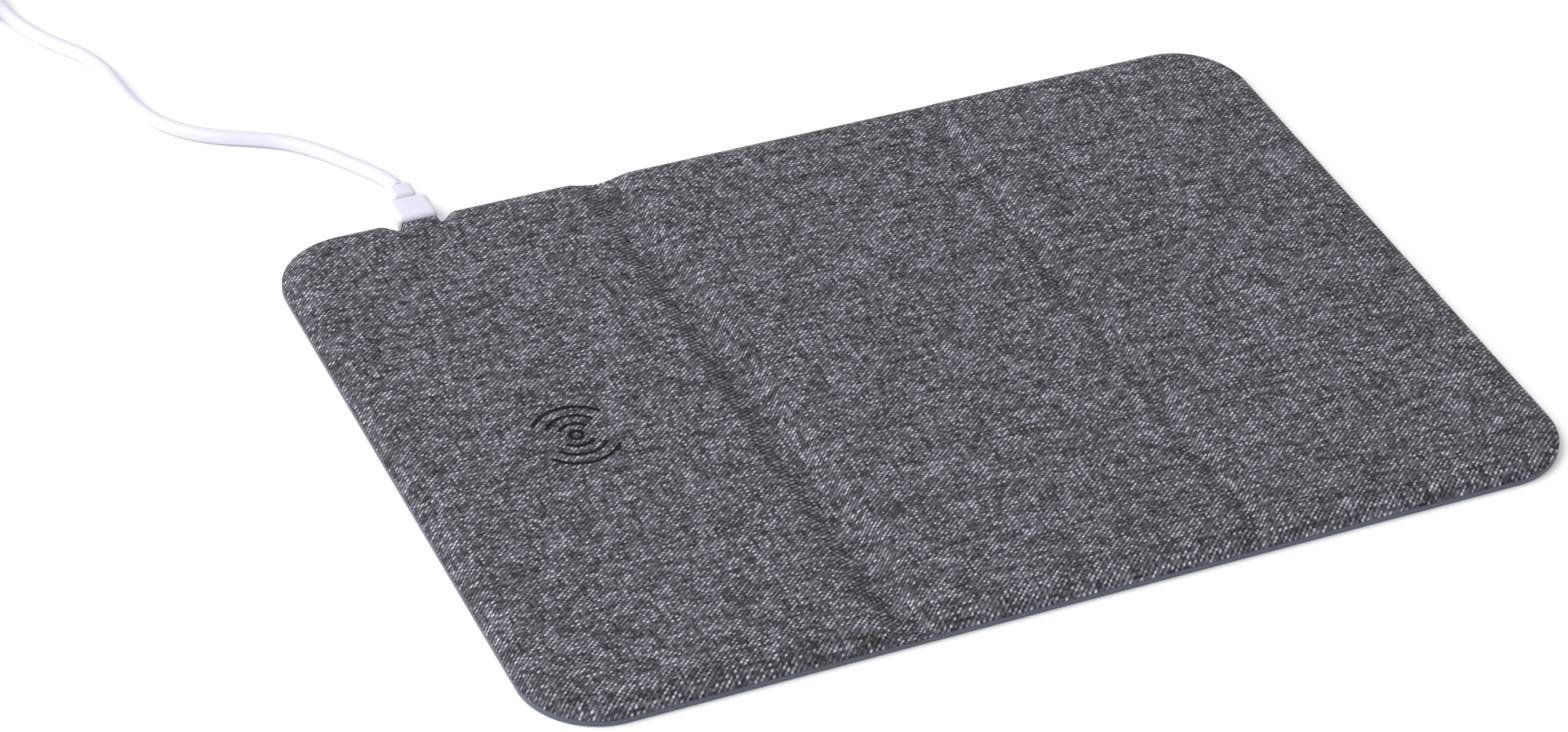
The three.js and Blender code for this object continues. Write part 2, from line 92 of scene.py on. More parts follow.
def makeCamera():
    azimuth, elevation = math.radians(view["azimuth"]), math.radians(view["elevation"])
    level = math.cos(elevation)
    back = Vector((math.sin(azimuth) * level, -math.cos(azimuth) * level, math.sin(elevation)))
    data = bpy.data.cameras.new("camera")
    data.lens = view["lens"]
    data.sensor_width = view["sensor"]
    data.clip_start, data.clip_end = 0.05, 50
    camera = bpy.data.objects.new("camera", data)
    bpy.context.scene.collection.objects.link(camera)
    camera.location = Vector(view["target"]) + back * view["distance"]
    camera.rotation_mode = "QUATERNION"
    roll = Quaternion((0, 0, 1), math.radians(view["roll"]))
    camera.rotation_quaternion = (-back).to_track_quat("-Z", "Y") @ roll
    bpy.context.scene.camera = camera


makeCamera()
print("camera placed")


# Pieces

def linked(name, data):
    piece = bpy.data.objects.new(name, data)
    bpy.context.scene.collection.objects.link(piece)
    return piece


def meshPiece(name, bm, material, smooth=True):
    data = bpy.data.meshes.new(name)
    bm.to_mesh(data)
    bm.free()
    for face in data.polygons:
        face.use_smooth = smooth
    data.materials.append(material)
    return linked(name, data)


def sharpen(piece, degrees):
    piece.data.set_sharp_from_angle(angle=math.radians(degrees))


# Shader node groups

def newGroup(name, inputs, outputs):
    group = bpy.data.node_groups.new(name, "ShaderNodeTree")
    for label, kind, value in inputs:
        socket = group.interface.new_socket(label, in_out="INPUT", socket_type=kind)
        if value is not None:
            socket.default_value = value
    for label, kind in outputs:
        group.interface.new_socket(label, in_out="OUTPUT", socket_type=kind)
    source = group.nodes.new("NodeGroupInput")
    sink = group.nodes.new("NodeGroupOutput")
    return group, source, sink


def addNode(tree, kind, settings=None, **sockets):
    made = tree.nodes.new(kind)
    for key, value in (settings or {}).items():
        setattr(made, key, value)
    for key, value in sockets.items():
        put(tree, made.inputs[key.replace("_", " ")], value)
    return made


def put(tree, socket, value):
    if isinstance(value, bpy.types.NodeSocket):
        tree.links.new(value, socket)
    else:
        socket.default_value = value


def maths(tree, operation, a, b=0.0, c=0.0):
    made = tree.nodes.new("ShaderNodeMath")
    made.operation = operation
    for socket, value in zip(made.inputs, (a, b, c)):
        put(tree, socket, value)
    return made.outputs[0]


def combine(tree, x, y, z=0.0):
    made = tree.nodes.new("ShaderNodeCombineXYZ")
    for socket, value in zip(made.inputs, (x, y, z)):
        put(tree, socket, value)
    return made.outputs[0]


def noiseValue(tree, vector, scale, detail=2.0, roughness=0.5):
    made = addNode(tree, "ShaderNodeTexNoise", Vector=vector, Scale=scale, Detail=detail)
    made.inputs["Roughness"].default_value = roughness
    return made.outputs["Fac"]


def remap(tree, value, low, high, toLow=0.0, toHigh=1.0, kind="LINEAR"):
    made = tree.nodes.new("ShaderNodeMapRange")
    made.interpolation_type = kind
    for name, given in (
        ("Value", value),
        ("From Min", low),
        ("From Max", high),
        ("To Min", toLow),
        ("To Max", toHigh),
    ):
        put(tree, made.inputs[name], given)
    return made.outputs["Result"]


def ramp(tree, value, stops):
    made = tree.nodes.new("ShaderNodeValToRGB")
    elements = made.color_ramp.elements
    while len(elements) < len(stops):
        elements.new(0.5)
    for element, (place, color) in zip(elements, stops):
        element.position = place
        element.color = (*color, 1)
    put(tree, made.inputs["Fac"], value)
    return made.outputs["Color"]


def mixColor(tree, factor, a, b):
    made = tree.nodes.new("ShaderNodeMix")
    made.data_type = "RGBA"
    put(tree, made.inputs["Factor"], factor)
    put(tree, made.inputs["A"], a)
    put(tree, made.inputs["B"], b)
    return made.outputs["Result"]


# Plain weave of melange yarn. Warp runs along Y and weft along X, in the flat cloth's own metres.
weave = {
    "warpPitch": 0.00074,
    "weftPitch": 0.0006,
    "ribShare": 0.76,
    "waver": 0.00015,
    "waverScale": 40.0,
    "slubLength": 0.008,
    "crossing": 0.38,
    "stroke": 0.38,
    "weftSlub": 0.80,
    "warpSlub": 0.50,
    "cloud": 0.14,
    "cloudLength": 0.016,
    "cloudWidth": 0.0032,
    "weftStride": 3.37,
    "warpStride": 2.71,
    "warpLayer": 5.0,
    "strokeShare": 0.9,
    "strokeBase": 0.55,
    "heightShare": 0.5,
}


def makeWeaveGroup():
    group, source, sink = newGroup(
        "melangeWeave",
        [
            ("Vector", "NodeSocketVector", None),
            ("Warp Pitch", "NodeSocketFloat", weave["warpPitch"]),
            ("Weft Pitch", "NodeSocketFloat", weave["weftPitch"]),
            ("Slub Length", "NodeSocketFloat", weave["slubLength"]),
            ("Contrast", "NodeSocketFloat", 1.0),
        ],
        [("Tone", "NodeSocketFloat"), ("Height", "NodeSocketFloat")],
    )
    given = source.outputs
    place = addNode(group, "ShaderNodeSeparateXYZ", Vector=given["Vector"])
    x, y = place.outputs["X"], place.outputs["Y"]
    wobble = addNode(
        group, "ShaderNodeTexNoise", Vector=given["Vector"], Scale=weave["waverScale"], Detail=1.0
    )
    shift = addNode(group, "ShaderNodeSeparateXYZ", Vector=wobble.outputs["Color"])
    x = maths(group, "MULTIPLY_ADD", shift.outputs["X"], weave["waver"], x)
    y = maths(group, "MULTIPLY_ADD", shift.outputs["Y"], weave["waver"], y)
    u = maths(group, "DIVIDE", x, given["Warp Pitch"])
    v = maths(group, "DIVIDE", y, given["Weft Pitch"])
    ribAngle = maths(group, "MULTIPLY", maths(group, "SUBTRACT", u, v), math.pi)
    rib = maths(group, "COSINE", ribAngle)
    crossAngle = maths(group, "MULTIPLY", maths(group, "ADD", u, v), math.pi)
    cross = maths(group, "COSINE", crossAngle)
    cross = maths(group, "MULTIPLY", cross, 1 - weave["ribShare"])
    over = maths(group, "MULTIPLY_ADD", rib, weave["ribShare"], cross)
    # each crossing has its own tone, and each thread keeps another for a while along its length
    warpRow = maths(group, "ROUND", u)
    weftRow = maths(group, "ROUND", v)
    crossing = addNode(group, "ShaderNodeTexWhiteNoise", Vector=combine(group, warpRow, weftRow))
    own = maths(group, "SUBTRACT", crossing.outputs["Value"], 0.5)
    along = maths(group, "DIVIDE", x, given["Slub Length"])
    weftAt = combine(group, along, maths(group, "MULTIPLY", weftRow, weave["weftStride"]))
    weftTone = noiseValue(group, weftAt, 1.0, 2.0)
    climb = maths(group, "DIVIDE", y, given["Slub Length"])
    warpSide = maths(group, "MULTIPLY", warpRow, weave["warpStride"])
    warpAt = combine(group, warpSide, climb, weave["warpLayer"])
    warpTone = noiseValue(group, warpAt, 1.0, 2.0)
    cloudX = maths(group, "DIVIDE", x, weave["cloudLength"])
    cloudY = maths(group, "DIVIDE", y, weave["cloudWidth"])
    cloud = noiseValue(group, combine(group, cloudX, cloudY), 1.0, 3.0, 0.6)
    tone = maths(group, "MULTIPLY", own, weave["crossing"])
    strength = maths(group, "MULTIPLY_ADD", own, weave["strokeShare"], weave["strokeBase"])
    stroke = maths(group, "MULTIPLY", over, strength)
    tone = maths(group, "MULTIPLY_ADD", stroke, weave["stroke"], tone)
    for thread, share in ((weftTone, "weftSlub"), (warpTone, "warpSlub"), (cloud, "cloud")):
        tone = maths(group, "MULTIPLY_ADD", maths(group, "SUBTRACT", thread, 0.5), weave[share], tone)
    tone = maths(group, "MULTIPLY_ADD", tone, given["Contrast"], 0.5)
    group.links.new(tone, sink.inputs["Tone"])
    ownHeight = maths(group, "MULTIPLY", own, weave["heightShare"])
    height = maths(group, "MULTIPLY_ADD", over, weave["heightShare"], ownHeight)
    group.links.new(height, sink.inputs["Height"])
    return group


def makeGrainGroup():
    group, source, sink = newGroup(
        "mouldedGrain",
        [
            ("Vector", "NodeSocketVector", None),
            ("Grain Scale", "NodeSocketFloat", 2500.0),
            ("Cloud Scale", "NodeSocketFloat", 60.0),
        ],
        [("Grain", "NodeSocketFloat"), ("Cloud", "NodeSocketFloat")],
    )
    given = source.outputs
    grain = addNode(group, "ShaderNodeTexNoise", Vector=given["Vector"], Scale=given["Grain Scale"])
    cloud = addNode(group, "ShaderNodeTexNoise", Vector=given["Vector"], Scale=given["Cloud Scale"])
    group.links.new(grain.outputs["Fac"], sink.inputs["Grain"])
    group.links.new(cloud.outputs["Fac"], sink.inputs["Cloud"])
    return group


weaveGroup = makeWeaveGroup()
grainGroup = makeGrainGroup()


def groupNode(tree, group, **sockets):
    made = tree.nodes.new("ShaderNodeGroup")
    made.node_tree = group
    for key, value in sockets.items():
        put(tree, made.inputs[key.replace("_", " ")], value)
    return made


def newMaterial(name):
    material = bpy.data.materials.new(name)
    material.use_nodes = True
    return material, material.node_tree, material.node_tree.nodes["Principled BSDF"]


moulding = {
    "grainShare": 0.4,
    "cloudShare": 0.6,
    "low": 0.3,
    "high": 0.7,
    "roughnessSpread": 0.06,
}


def grained(
    name,
    color,
    roughness,
    metallic=0.0,
    spread=0.12,
    grain=2500.0,
    cloud=60.0,
    bump=0.2,
    depth=0.00004,
    **fixed,
):
    material, tree, shader = newMaterial(name)
    where = tree.nodes.new("ShaderNodeTexCoord").outputs["Object"]
    marks = groupNode(tree, grainGroup, Vector=where, Grain_Scale=grain, Cloud_Scale=cloud)
    low, high, band = moulding["low"], moulding["high"], moulding["roughnessSpread"]
    clouded = maths(tree, "MULTIPLY", marks.outputs["Cloud"], moulding["cloudShare"])
    mixed = maths(tree, "MULTIPLY_ADD", marks.outputs["Grain"], moulding["grainShare"], clouded)
    dark = tuple(c * (1 - spread) for c in color)
    light = tuple(min(1, c * (1 + spread)) for c in color)
    put(tree, shader.inputs["Base Color"], ramp(tree, mixed, [(low, dark), (high, light)]))
    worn = remap(tree, marks.outputs["Cloud"], low, high, roughness - band, roughness + band)
    put(tree, shader.inputs["Roughness"], worn)
    shader.inputs["Metallic"].default_value = metallic
    height = addNode(tree, "ShaderNodeBump", Height=marks.outputs["Grain"], Strength=bump, Distance=depth)
    put(tree, shader.inputs["Normal"], height.outputs["Normal"])
    for key, value in fixed.items():
        shader.inputs[key.replace("_", " ")].default_value = value
    return material


# The printed charging sign: a small ring, and three pairs of arcs that open to the sides.
sign = {
    "centre": (-0.0883, -0.0024),
    "ring": 0.00151,
    "arcs": (0.00417, 0.00736, 0.01063),
    "stroke": 0.00108,
    "soft": 0.00012,
    "opening": 1.4,
    "openingSoft": 0.06,
    "ink": (0.005, 0.005, 0.006),
    "inkLow": -0.2,
    "inkHigh": 0.9,
    "inkOnTop": 0.93,
}


def makeSignMask(tree, vector):
    place = addNode(tree, "ShaderNodeSeparateXYZ", Vector=vector)
    dx = maths(tree, "SUBTRACT", place.outputs["X"], sign["centre"][0])
    dy = maths(tree, "SUBTRACT", place.outputs["Y"], sign["centre"][1])
    far = maths(tree, "SQRT", maths(tree, "MULTIPLY_ADD", dx, dx, maths(tree, "MULTIPLY", dy, dy)))
    half, soft = sign["stroke"] / 2, sign["soft"]

    def line(radius):
        off = maths(tree, "ABSOLUTE", maths(tree, "SUBTRACT", far, radius))
        return remap(tree, off, half - soft, half + soft, 1.0, 0.0)

    spread = maths(tree, "DIVIDE", maths(tree, "ABSOLUTE", dx), maths(tree, "ABSOLUTE", dy))
    opening, blur = sign["opening"], sign["openingSoft"]
    inside = remap(tree, spread, opening - blur, opening + blur, 1.0, 0.0)
    arcs = 0.0
    for radius in sign["arcs"]:
        arcs = maths(tree, "MAXIMUM", arcs, line(radius))
    arcs = maths(tree, "MULTIPLY", arcs, inside)
    return maths(tree, "MAXIMUM", arcs, line(sign["ring"]))


cloth = {
    "stops": [
        (0.0, (0.0093, 0.0076, 0.0093)),
        (0.30, (0.0326, 0.0285, 0.0326)),
        (0.5, (0.0850, 0.0810, 0.0932)),
        (0.72, (0.1957, 0.1887, 0.2283)),
        (1.0, (0.5592, 0.5475, 0.6524)),
    ],
    "contrast": 0.92,
    "roughness": 0.85,
    "roughnessOnTop": 0.75,
    "sheen": 0.02,
    "sheenRoughness": 0.5,
    "specular": 0.12,
    "bump": 0.7,
    "bumpDepth": 0.00012,
}


def makeCloth():
    material, tree, shader = newMaterial("heatherCloth")
    where = tree.nodes.new("ShaderNodeUVMap")
    where.uv_map = "cloth"
    woven = groupNode(tree, weaveGroup, Vector=where.outputs["UV"], Contrast=cloth["contrast"])
    color = ramp(tree, woven.outputs["Tone"], cloth["stops"])
    printed = makeSignMask(tree, where.outputs["UV"])
    height = woven.outputs["Height"]
    soaked = remap(tree, height, sign["inkLow"], sign["inkHigh"], 1.0, sign["inkOnTop"])
    sunk = maths(tree, "MULTIPLY", printed, soaked)
    color = mixColor(tree, sunk, color, (*sign["ink"], 1))
    put(tree, shader.inputs["Base Color"], color)
    worn = remap(tree, height, 0, 1, cloth["roughness"], cloth["roughnessOnTop"])
    put(tree, shader.inputs["Roughness"], worn)
    shader.inputs["Sheen Weight"].default_value = cloth["sheen"]
    shader.inputs["Sheen Roughness"].default_value = cloth["sheenRoughness"]
    shader.inputs["Specular IOR Level"].default_value = cloth["specular"]
    bump = addNode(
        tree,
        "ShaderNodeBump",
        Height=height,
        Strength=cloth["bump"],
        Distance=cloth["bumpDepth"],
    )
    put(tree, shader.inputs["Normal"], bump.outputs["Normal"])
    return material


clothMaterial = makeCloth()
sheetMaterial = grained(
    "slateSheet", (0.075, 0.087, 0.13), 0.42,
    spread=0.06, grain=1800.0, cloud=25.0, bump=0.12,
)
whiteMaterial = grained(
    "softWhite", (0.64, 0.64, 0.745), 0.38,
    spread=0.012, grain=3000.0, cloud=80.0, bump=0.05,
)
steelMaterial = grained(
    "platedSteel", (0.60, 0.60, 0.62), 0.28,
    1.0, spread=0.08, grain=900.0, bump=0.1,
)
blackMaterial = grained("blackMoulding", (0.018, 0.018, 0.020), 0.5, spread=0.2)
foamMaterial = grained(
    "closedFoam", (0.024, 0.024, 0.027), 0.95,
    spread=0.35, grain=1600.0, bump=0.6, depth=0.0001,
)
boardMaterial = grained(
    "fibreBoard", (0.26, 0.21, 0.15), 0.9,
    spread=0.25, grain=1200.0, cloud=200.0, bump=0.4,
)
ferriteMaterial = grained("ferrite", (0.035, 0.035, 0.038), 0.6, spread=0.3, grain=4000.0)
copperMaterial = grained("enamelledCopper", (0.62, 0.24, 0.09), 0.3, 1.0, spread=0.15, grain=1500.0)
maskMaterial = grained(
    "solderMask", (0.010, 0.105, 0.045), 0.35,
    spread=0.12, grain=1800.0, Coat_Weight=0.3,
)
resinMaterial = grained("chipResin", (0.012, 0.012, 0.013), 0.55, spread=0.3, grain=5000.0)
ceramicMaterial = grained("tanCeramic", (0.42, 0.27, 0.14), 0.45, spread=0.1, grain=4000.0)
strapMaterial = grained(
    "blackStrap", (0.02, 0.02, 0.022), 0.9,
    spread=0.4, grain=3500.0, bump=0.8, depth=0.0001,
)
print("materials made")


# Cable: the route is listed point by point as far as the coil, and the turns follow a spiral.

cable = {
    "radius": 0.0019,
    "points": [
        (-0.092, 0.10795, 0.00255),
        (-0.0922, 0.1106, 0.0025),
        (-0.0935, 0.1146, 0.0022),
        (-0.096, 0.1194, 0.00195),
        (-0.0998, 0.1252, 0.0019),
        (-0.105, 0.1322, 0.0019),
        (-0.1115, 0.1386, 0.0019),
        (-0.1188, 0.1429, 0.0019),
        (-0.1258, 0.1465, 0.0019),
        (-0.1328, 0.1517, 0.0019),
        (-0.1383, 0.1587, 0.0019),
        (-0.1415, 0.1675, 0.0019),
        (-0.1429, 0.1771, 0.0019),
        (-0.1439, 0.1855, 0.0019),
        (-0.1468, 0.1938, 0.0019),
        (-0.1513, 0.2006, 0.0019),
        (-0.156, 0.2085, 0.00195),
        (-0.1596, 0.218, 0.0022),
        (-0.1611, 0.228, 0.0025),
        (-0.1612, 0.238, 0.00265),
    ],
    "tail": [
        (-0.2124, 0.238, 0.00645),
        (-0.2124, 0.230, 0.0061),
        (-0.2124, 0.222, 0.005),
        (-0.2124, 0.214, 0.00395),
    ],
    "centre": (-0.1868, 0.238),
    "outerTurn": 0.0256,
    "innerTurn": 0.0136,
    "turns": 3,
    "lowLayer": 0.00265,
    "highLayer": 0.00645,
    "stepsPerTurn": 40,
    "between": 5,
    "bevelSteps": 5,
}


def catmull(points, between):
    padded = [2 * Vector(points[0]) - Vector(points[1]), *map(Vector, points)]
    padded.append(2 * Vector(points[-1]) - Vector(points[-2]))
    line = []
    for a, b, c, d in zip(padded, padded[1:], padded[2:], padded[3:]):
        for i in range(between):
            t = i / between
            square = 2 * a - 5 * b + 4 * c - d
            cube = 3 * b - 3 * c + d - a
            line.append(0.5 * (2 * b + (c - a) * t + square * t**2 + cube * t**3))
    line.append(Vector(points[-1]))
    return line


def coilTurns():
    # inwards on the floor, half a turn up, and outwards on top
    turns, steps = cable["turns"], cable["stepsPerTurn"]
    outer, inner = cable["outerTurn"], cable["innerTurn"]
    low, high = cable["lowLayer"], cable["highLayer"]
    line = []
    for i in range(1, int((2 * turns + 0.5) * steps)):
        turned = i / steps
        if turned <= turns:
            radius, z = outer - (outer - inner) * turned / turns, low
        elif turned <= turns + 0.5:
            t = (turned - turns) * 2
            radius, z = inner, low + (high - low) * t * t * (3 - 2 * t)
        else:
            radius, z = inner + (outer - inner) * (turned - turns - 0.5) / turns, high
        angle = 2 * math.pi * turned
        x = cable["centre"][0] + radius * math.cos(angle)
        y = cable["centre"][1] + radius * math.sin(angle)
        line.append(Vector((x, y, z)))
    return line


def makeCable():
    lead = catmull(cable["points"], cable["between"])
    tail = catmull(cable["tail"], cable["between"])
    route = lead + coilTurns() + tail
    data = bpy.data.curves.new("usbCord", "CURVE")
    data.dimensions = "3D"
    data.bevel_depth = cable["radius"]
    data.bevel_resolution = cable["bevelSteps"]
    data.use_fill_caps = True
    spline = data.splines.new("POLY")
    spline.points.add(len(route) - 1)
    for point, where in zip(spline.points, route):
        point.co = (*where, 1)
    spline.use_smooth = True
    data.materials.append(whiteMaterial)
    cord = linked("usbCord", data)
    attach(cord, "usb_cable")
    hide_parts("usb_cord", "usb_cord_coil", "usb_cord_tail")
    length = sum((b - a).length for a, b in zip(route, route[1:]))
    return cord, length, route[0]


cord, cordLength, cordStart = makeCable()
print("cord laid,", round(cordLength, 4), "m")


# Mat: every sheet of it is a grid, drawn onto the mat's outline column by column.

notch = {
    "floor": 0.0056,
    "mouth": 0.0102,
    "depth": 0.0031,
    "portHalf": 0.0048,
    "portTop": 0.0041,
}
farPull = {"at": -0.0436, "depth": 0.0018, "reach": 0.009}
socketLow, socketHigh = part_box("usb_c_socket_shell")
notchX = (socketLow.x + socketHigh.x) / 2


def easeStep(t):
    t = min(1.0, max(0.0, t))
    return t * t * (3 - 2 * t)


def notchAt(x):
    away = abs(x - notchX)
    climbed = easeStep((away - notch["floor"]) / (notch["mouth"] - notch["floor"]))
    return notch["depth"] * (1 - climbed) + drawnIn(x)


def drawnIn(x):
    # the wide groove pulls the far edge in a little
    return farPull["depth"] * easeStep(1 - abs(x - farPull["at"]) / farPull["reach"])


def reachAt(x):
    # half the mat's depth where its edge passes x
    radius = mat["cornerRadius"]
    inset = min(x - mat["left"], mat["right"] - x)
    if inset >= radius:
        return mat["halfDepth"]
    return mat["halfDepth"] - radius + math.sqrt(max(0.0, radius**2 - (radius - inset) ** 2))


def edgeDistance(x, y):
    radius = mat["cornerRadius"]
    dx = min(x - mat["left"], mat["right"] - x)
    dy = mat["halfDepth"] - abs(y)
    if y > 0:
        dy -= notchAt(x)
    if dx < radius and dy < radius:
        return radius - math.hypot(radius - dx, radius - dy)
    return min(dx, dy)


grid = {
    "step": 0.002,
    "edgeReach": 0.003,
    "edgeStep": 0.00012,
    "edgeGrowth": 0.3,
    "cornerStep": 0.001,
    "notchMargin": 0.001,
    "notchStep": 0.0005,
    "creaseReach": 0.0085,
    "creaseStep": 0.0006,
    "middleRows": 62,
}


def columnPlaces(start, stop):
    # where the grid's columns stand: an even step, closer in the corners, the notch and the grooves
    places = {round(start, 7), round(stop, 7)}
    x = start
    while x < stop:
        inset = min(x - mat["left"], mat["right"] - x)
        step = grid["step"]
        if inset < grid["edgeReach"]:
            step = grid["edgeStep"] + inset * grid["edgeGrowth"]
        elif inset < mat["cornerRadius"]:
            step = grid["cornerStep"]
        if abs(x - notchX) < notch["mouth"] + grid["notchMargin"]:
            step = grid["notchStep"]
        for crease in creases.values():
            if abs(x - crease) < grid["creaseReach"]:
                step = grid["creaseStep"]
        x += step
        if x < stop - step / 2:
            places.add(round(x, 7))
    return sorted(places)


rowInsets = [
    *(0.0, 0.00012, 0.0003, 0.0006, 0.001, 0.0015),
    *(0.0016, 0.0023, 0.0032, 0.0043, 0.0056, 0.0072),
]


def rowPlaces():
    # each row is (edge it is measured from, inset or share of the way between the edges)
    middle = grid["middleRows"]
    rows = [(-1, inset) for inset in rowInsets]
    rows += [(0, i / middle) for i in range(1, middle)]
    rows += [(1, inset) for inset in reversed(rowInsets)]
    return rows


def matGrid(start, stop):
    columns, rows = columnPlaces(start, stop), rowPlaces()
    bm = bmesh.new()
    bmesh.ops.create_grid(bm, x_segments=len(columns) - 1, y_segments=len(rows) - 1, size=0.5)
    for vertex in bm.verts:
        column = round((vertex.co.x + 0.5) * (len(columns) - 1))
        side, value = rows[round((vertex.co.y + 0.5) * (len(rows) - 1))]
        x = columns[column]
        near, far = -reachAt(x), reachAt(x) - notchAt(x)
        last = rowInsets[-1]
        if side < 0:
            y = near + value
        elif side > 0:
            y = far - value
        else:
            y = near + last + (far - near - 2 * last) * value
        vertex.co = (x, y, 0)
    return bm


# Depth of the cloth below the panels' top, across each fold groove.
grooves = [
    {"from": -0.0515, "lowFrom": -0.0445, "lowTo": -0.0422, "to": -0.0352, "depth": 0.00315},
    {"from": 0.0418, "lowFrom": 0.0456, "lowTo": 0.0464, "to": 0.0508, "depth": 0.0018},
]
unevenness = {"share": 0.03, "scaleX": 20, "scaleY": 35, "layer": 1.3}
pucker = {
    "pitch": 0.0027,
    "slant": 0.55,
    "height": 0.00013,
    "crestShift": 0.0006,
    "reach": 0.0042,
    "bend": 0.9,
    "bendScale": 60,
    "bendLayer": 4.1,
    "least": 0.6,
    "fadeScale": 90,
    "fadeLayer": 40,
}
lie = {"drop": 0.0006, "waves": 0.00012, "waveScale": 14, "waveLayer": 0.7, "fade": 0.006}


def grooveDepth(x, y):
    depth = 0.0
    for g in grooves:
        if g["from"] < x < g["to"]:
            if x < g["lowFrom"]:
                share = easeStep((x - g["from"]) / (g["lowFrom"] - g["from"]))
            elif x > g["lowTo"]:
                share = easeStep((g["to"] - x) / (g["to"] - g["lowTo"]))
            else:
                share = 1.0
            place = (x * unevenness["scaleX"], y * unevenness["scaleY"], unevenness["layer"])
            uneven = 1 + unevenness["share"] * noise.noise(Vector(place))
            depth += g["depth"] * share * uneven
        crest = (g["lowTo"] + g["to"]) / 2 + pucker["crestShift"]
        window = easeStep(1 - abs(x - crest) / pucker["reach"])
        if window > 0:
            place = (x * pucker["bendScale"], y * pucker["bendScale"], pucker["bendLayer"])
            bend = noise.noise(Vector(place)) * pucker["bend"]
            wave = math.sin(2 * math.pi * ((y + pucker["slant"] * x) / pucker["pitch"] + bend))
            place = (0, y * pucker["fadeScale"], g["from"] * pucker["fadeLayer"])
            strength = pucker["least"] + noise.noise(Vector(place))
            depth += pucker["height"] * (1 + wave) * window * strength
    return depth


def panelLie(x, y):
    # the middle panel sinks a little towards its far right corner, and nothing lies dead flat
    place = (x * lie["waveScale"], y * lie["waveScale"], lie["waveLayer"])
    depth = lie["waves"] * (1 + noise.noise(Vector(place)))
    left, right = creases["wide_crease_b"], creases["narrow_crease_a"]
    if left < x < right:
        across = easeStep((x - left) / (right - left))
        fade = easeStep((right - x) / lie["fade"])
        back = easeStep((y + mat["halfDepth"]) / (2 * mat["halfDepth"]))
        depth += lie["drop"] * across * fade * back
    return depth


# the cloth comes down to the rim over a few millimetres, a little faster at the far edge
shoulder = {"near": 0.0075, "far": 0.0066, "power": 2.3}


def shoulderShare(inset, y):
    backward = easeStep(y / mat["halfDepth"])
    width = shoulder["near"] + (shoulder["far"] - shoulder["near"]) * backward
    return max(0.0, 1 - inset / width) ** shoulder["power"]


clothEdge = {"foot": 0.0017, "thickness": 0.00045}


def clothHeight(x, y):
    crown = mat["top"] - grooveDepth(x, y) - panelLie(x, y)
    foot = clothEdge["foot"]
    if y > 0 and abs(x - notchX) < notch["portHalf"]:
        foot = notch["portTop"]
    return crown - (crown - foot) * shoulderShare(edgeDistance(x, y), y)


def markCuts(piece):
    # open edges stay sharp, so that two pieces meet with no change of shade
    bm = bmesh.new()
    bm.from_mesh(piece.data)
    for edge in bm.edges:
        if edge.is_boundary:
            edge.smooth = False
    bm.to_mesh(piece.data)
    bm.free()


def clothUv(piece):
    layer = piece.data.uv_layers.new(name="cloth")
    for loop in piece.data.loops:
        at = piece.data.vertices[loop.vertex_index].co
        layer.data[loop.index].uv = (at.x, at.y)


def makeClothPiece(name, start, stop):
    bm = matGrid(start, stop)
    for vertex in bm.verts:
        x, y = vertex.co.x, vertex.co.y
        vertex.co.z = clothHeight(x, y)
    bmesh.ops.recalc_face_normals(bm, faces=bm.faces)
    if sum(face.normal.z for face in bm.faces) < 0:
        bmesh.ops.reverse_faces(bm, faces=bm.faces)
    piece = meshPiece(name, bm, clothMaterial)
    clothUv(piece)
    markCuts(piece)
    wall = piece.modifiers.new("thickness", "SOLIDIFY")
    wall.thickness = clothEdge["thickness"]
    wall.offset = -1
    return piece


def makeSheetPiece(name, start, stop):
    bm = matGrid(start, stop)
    low = list(bm.verts)
    grown = bmesh.ops.extrude_face_region(bm, geom=list(bm.faces))
    high = [item for item in grown["geom"] if isinstance(item, bmesh.types.BMVert)]
    rim, width = mat["rimTop"], mat["rimWidth"]
    thin, soft = mat["sheetThickness"], mat["edgeRound"]
    for vertex in low:
        inset = edgeDistance(vertex.co.x, vertex.co.y)
        vertex.co.z = soft * (1 - easeRound(inset / soft))
    for vertex in high:
        x, y = vertex.co.x, vertex.co.y
        inset = edgeDistance(x, y)
        top = rim if inset <= width + mat["rimSlack"] else thin
        if y > 0 and abs(x - notchX) < notch["portHalf"]:
            top = thin
        vertex.co.z = top - soft * (1 - easeRound(inset / soft))
    bmesh.ops.recalc_face_normals(bm, faces=bm.faces)
    piece = meshPiece(name, bm, sheetMaterial)
    sharpen(piece, mat["sheetSharpAngle"])
    return piece


def easeRound(t):
    t = min(1.0, max(0.0, t))
    return math.sqrt(1 - (1 - t) ** 2)


strips = [
    ("charger", "charger_panel", "wide_spine", mat["left"], wideSeam, "wide_crease_a", "wide"),
    ("middleLeft", "wide_spine", "middle_panel", wideSeam, middleSeam, "wide_crease_b", "wide"),
    ("middleRight", "middle_panel", "narrow_spine", middleSeam, narrowSeam, "narrow_crease_a", "narrow"),
    ("end", "narrow_spine", "end_panel", narrowSeam, mat["right"], "narrow_crease_b", "narrow"),
]
standsFor = {
    "charger": ("charger_{}", "wide_spine_{}"),
    "middleLeft": ("wide_spine_{}", "middle_{}"),
    "middleRight": ("middle_{}", "narrow_spine_{}"),
    "end": ("narrow_spine_{}", "end_{}"),
}


def bendAt(piece):
    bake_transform(piece)


def makeMat():
    for name, bodyA, bodyB, start, stop, crease, kind in strips:
        piece = makeClothPiece(name + "Cloth", start, stop)
        bendAt(piece)
        nodes = [n.format("fabric" if "spine" in n else "fabric_cover") for n in standsFor[name]]
        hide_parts(*nodes)
        sheet = makeSheetPiece(name + "Sheet", start, stop)
        bendAt(sheet)
        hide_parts(*[n.format("base_sheet") for n in standsFor[name]])
    print("mat covered")


makeMat()


# Plugs

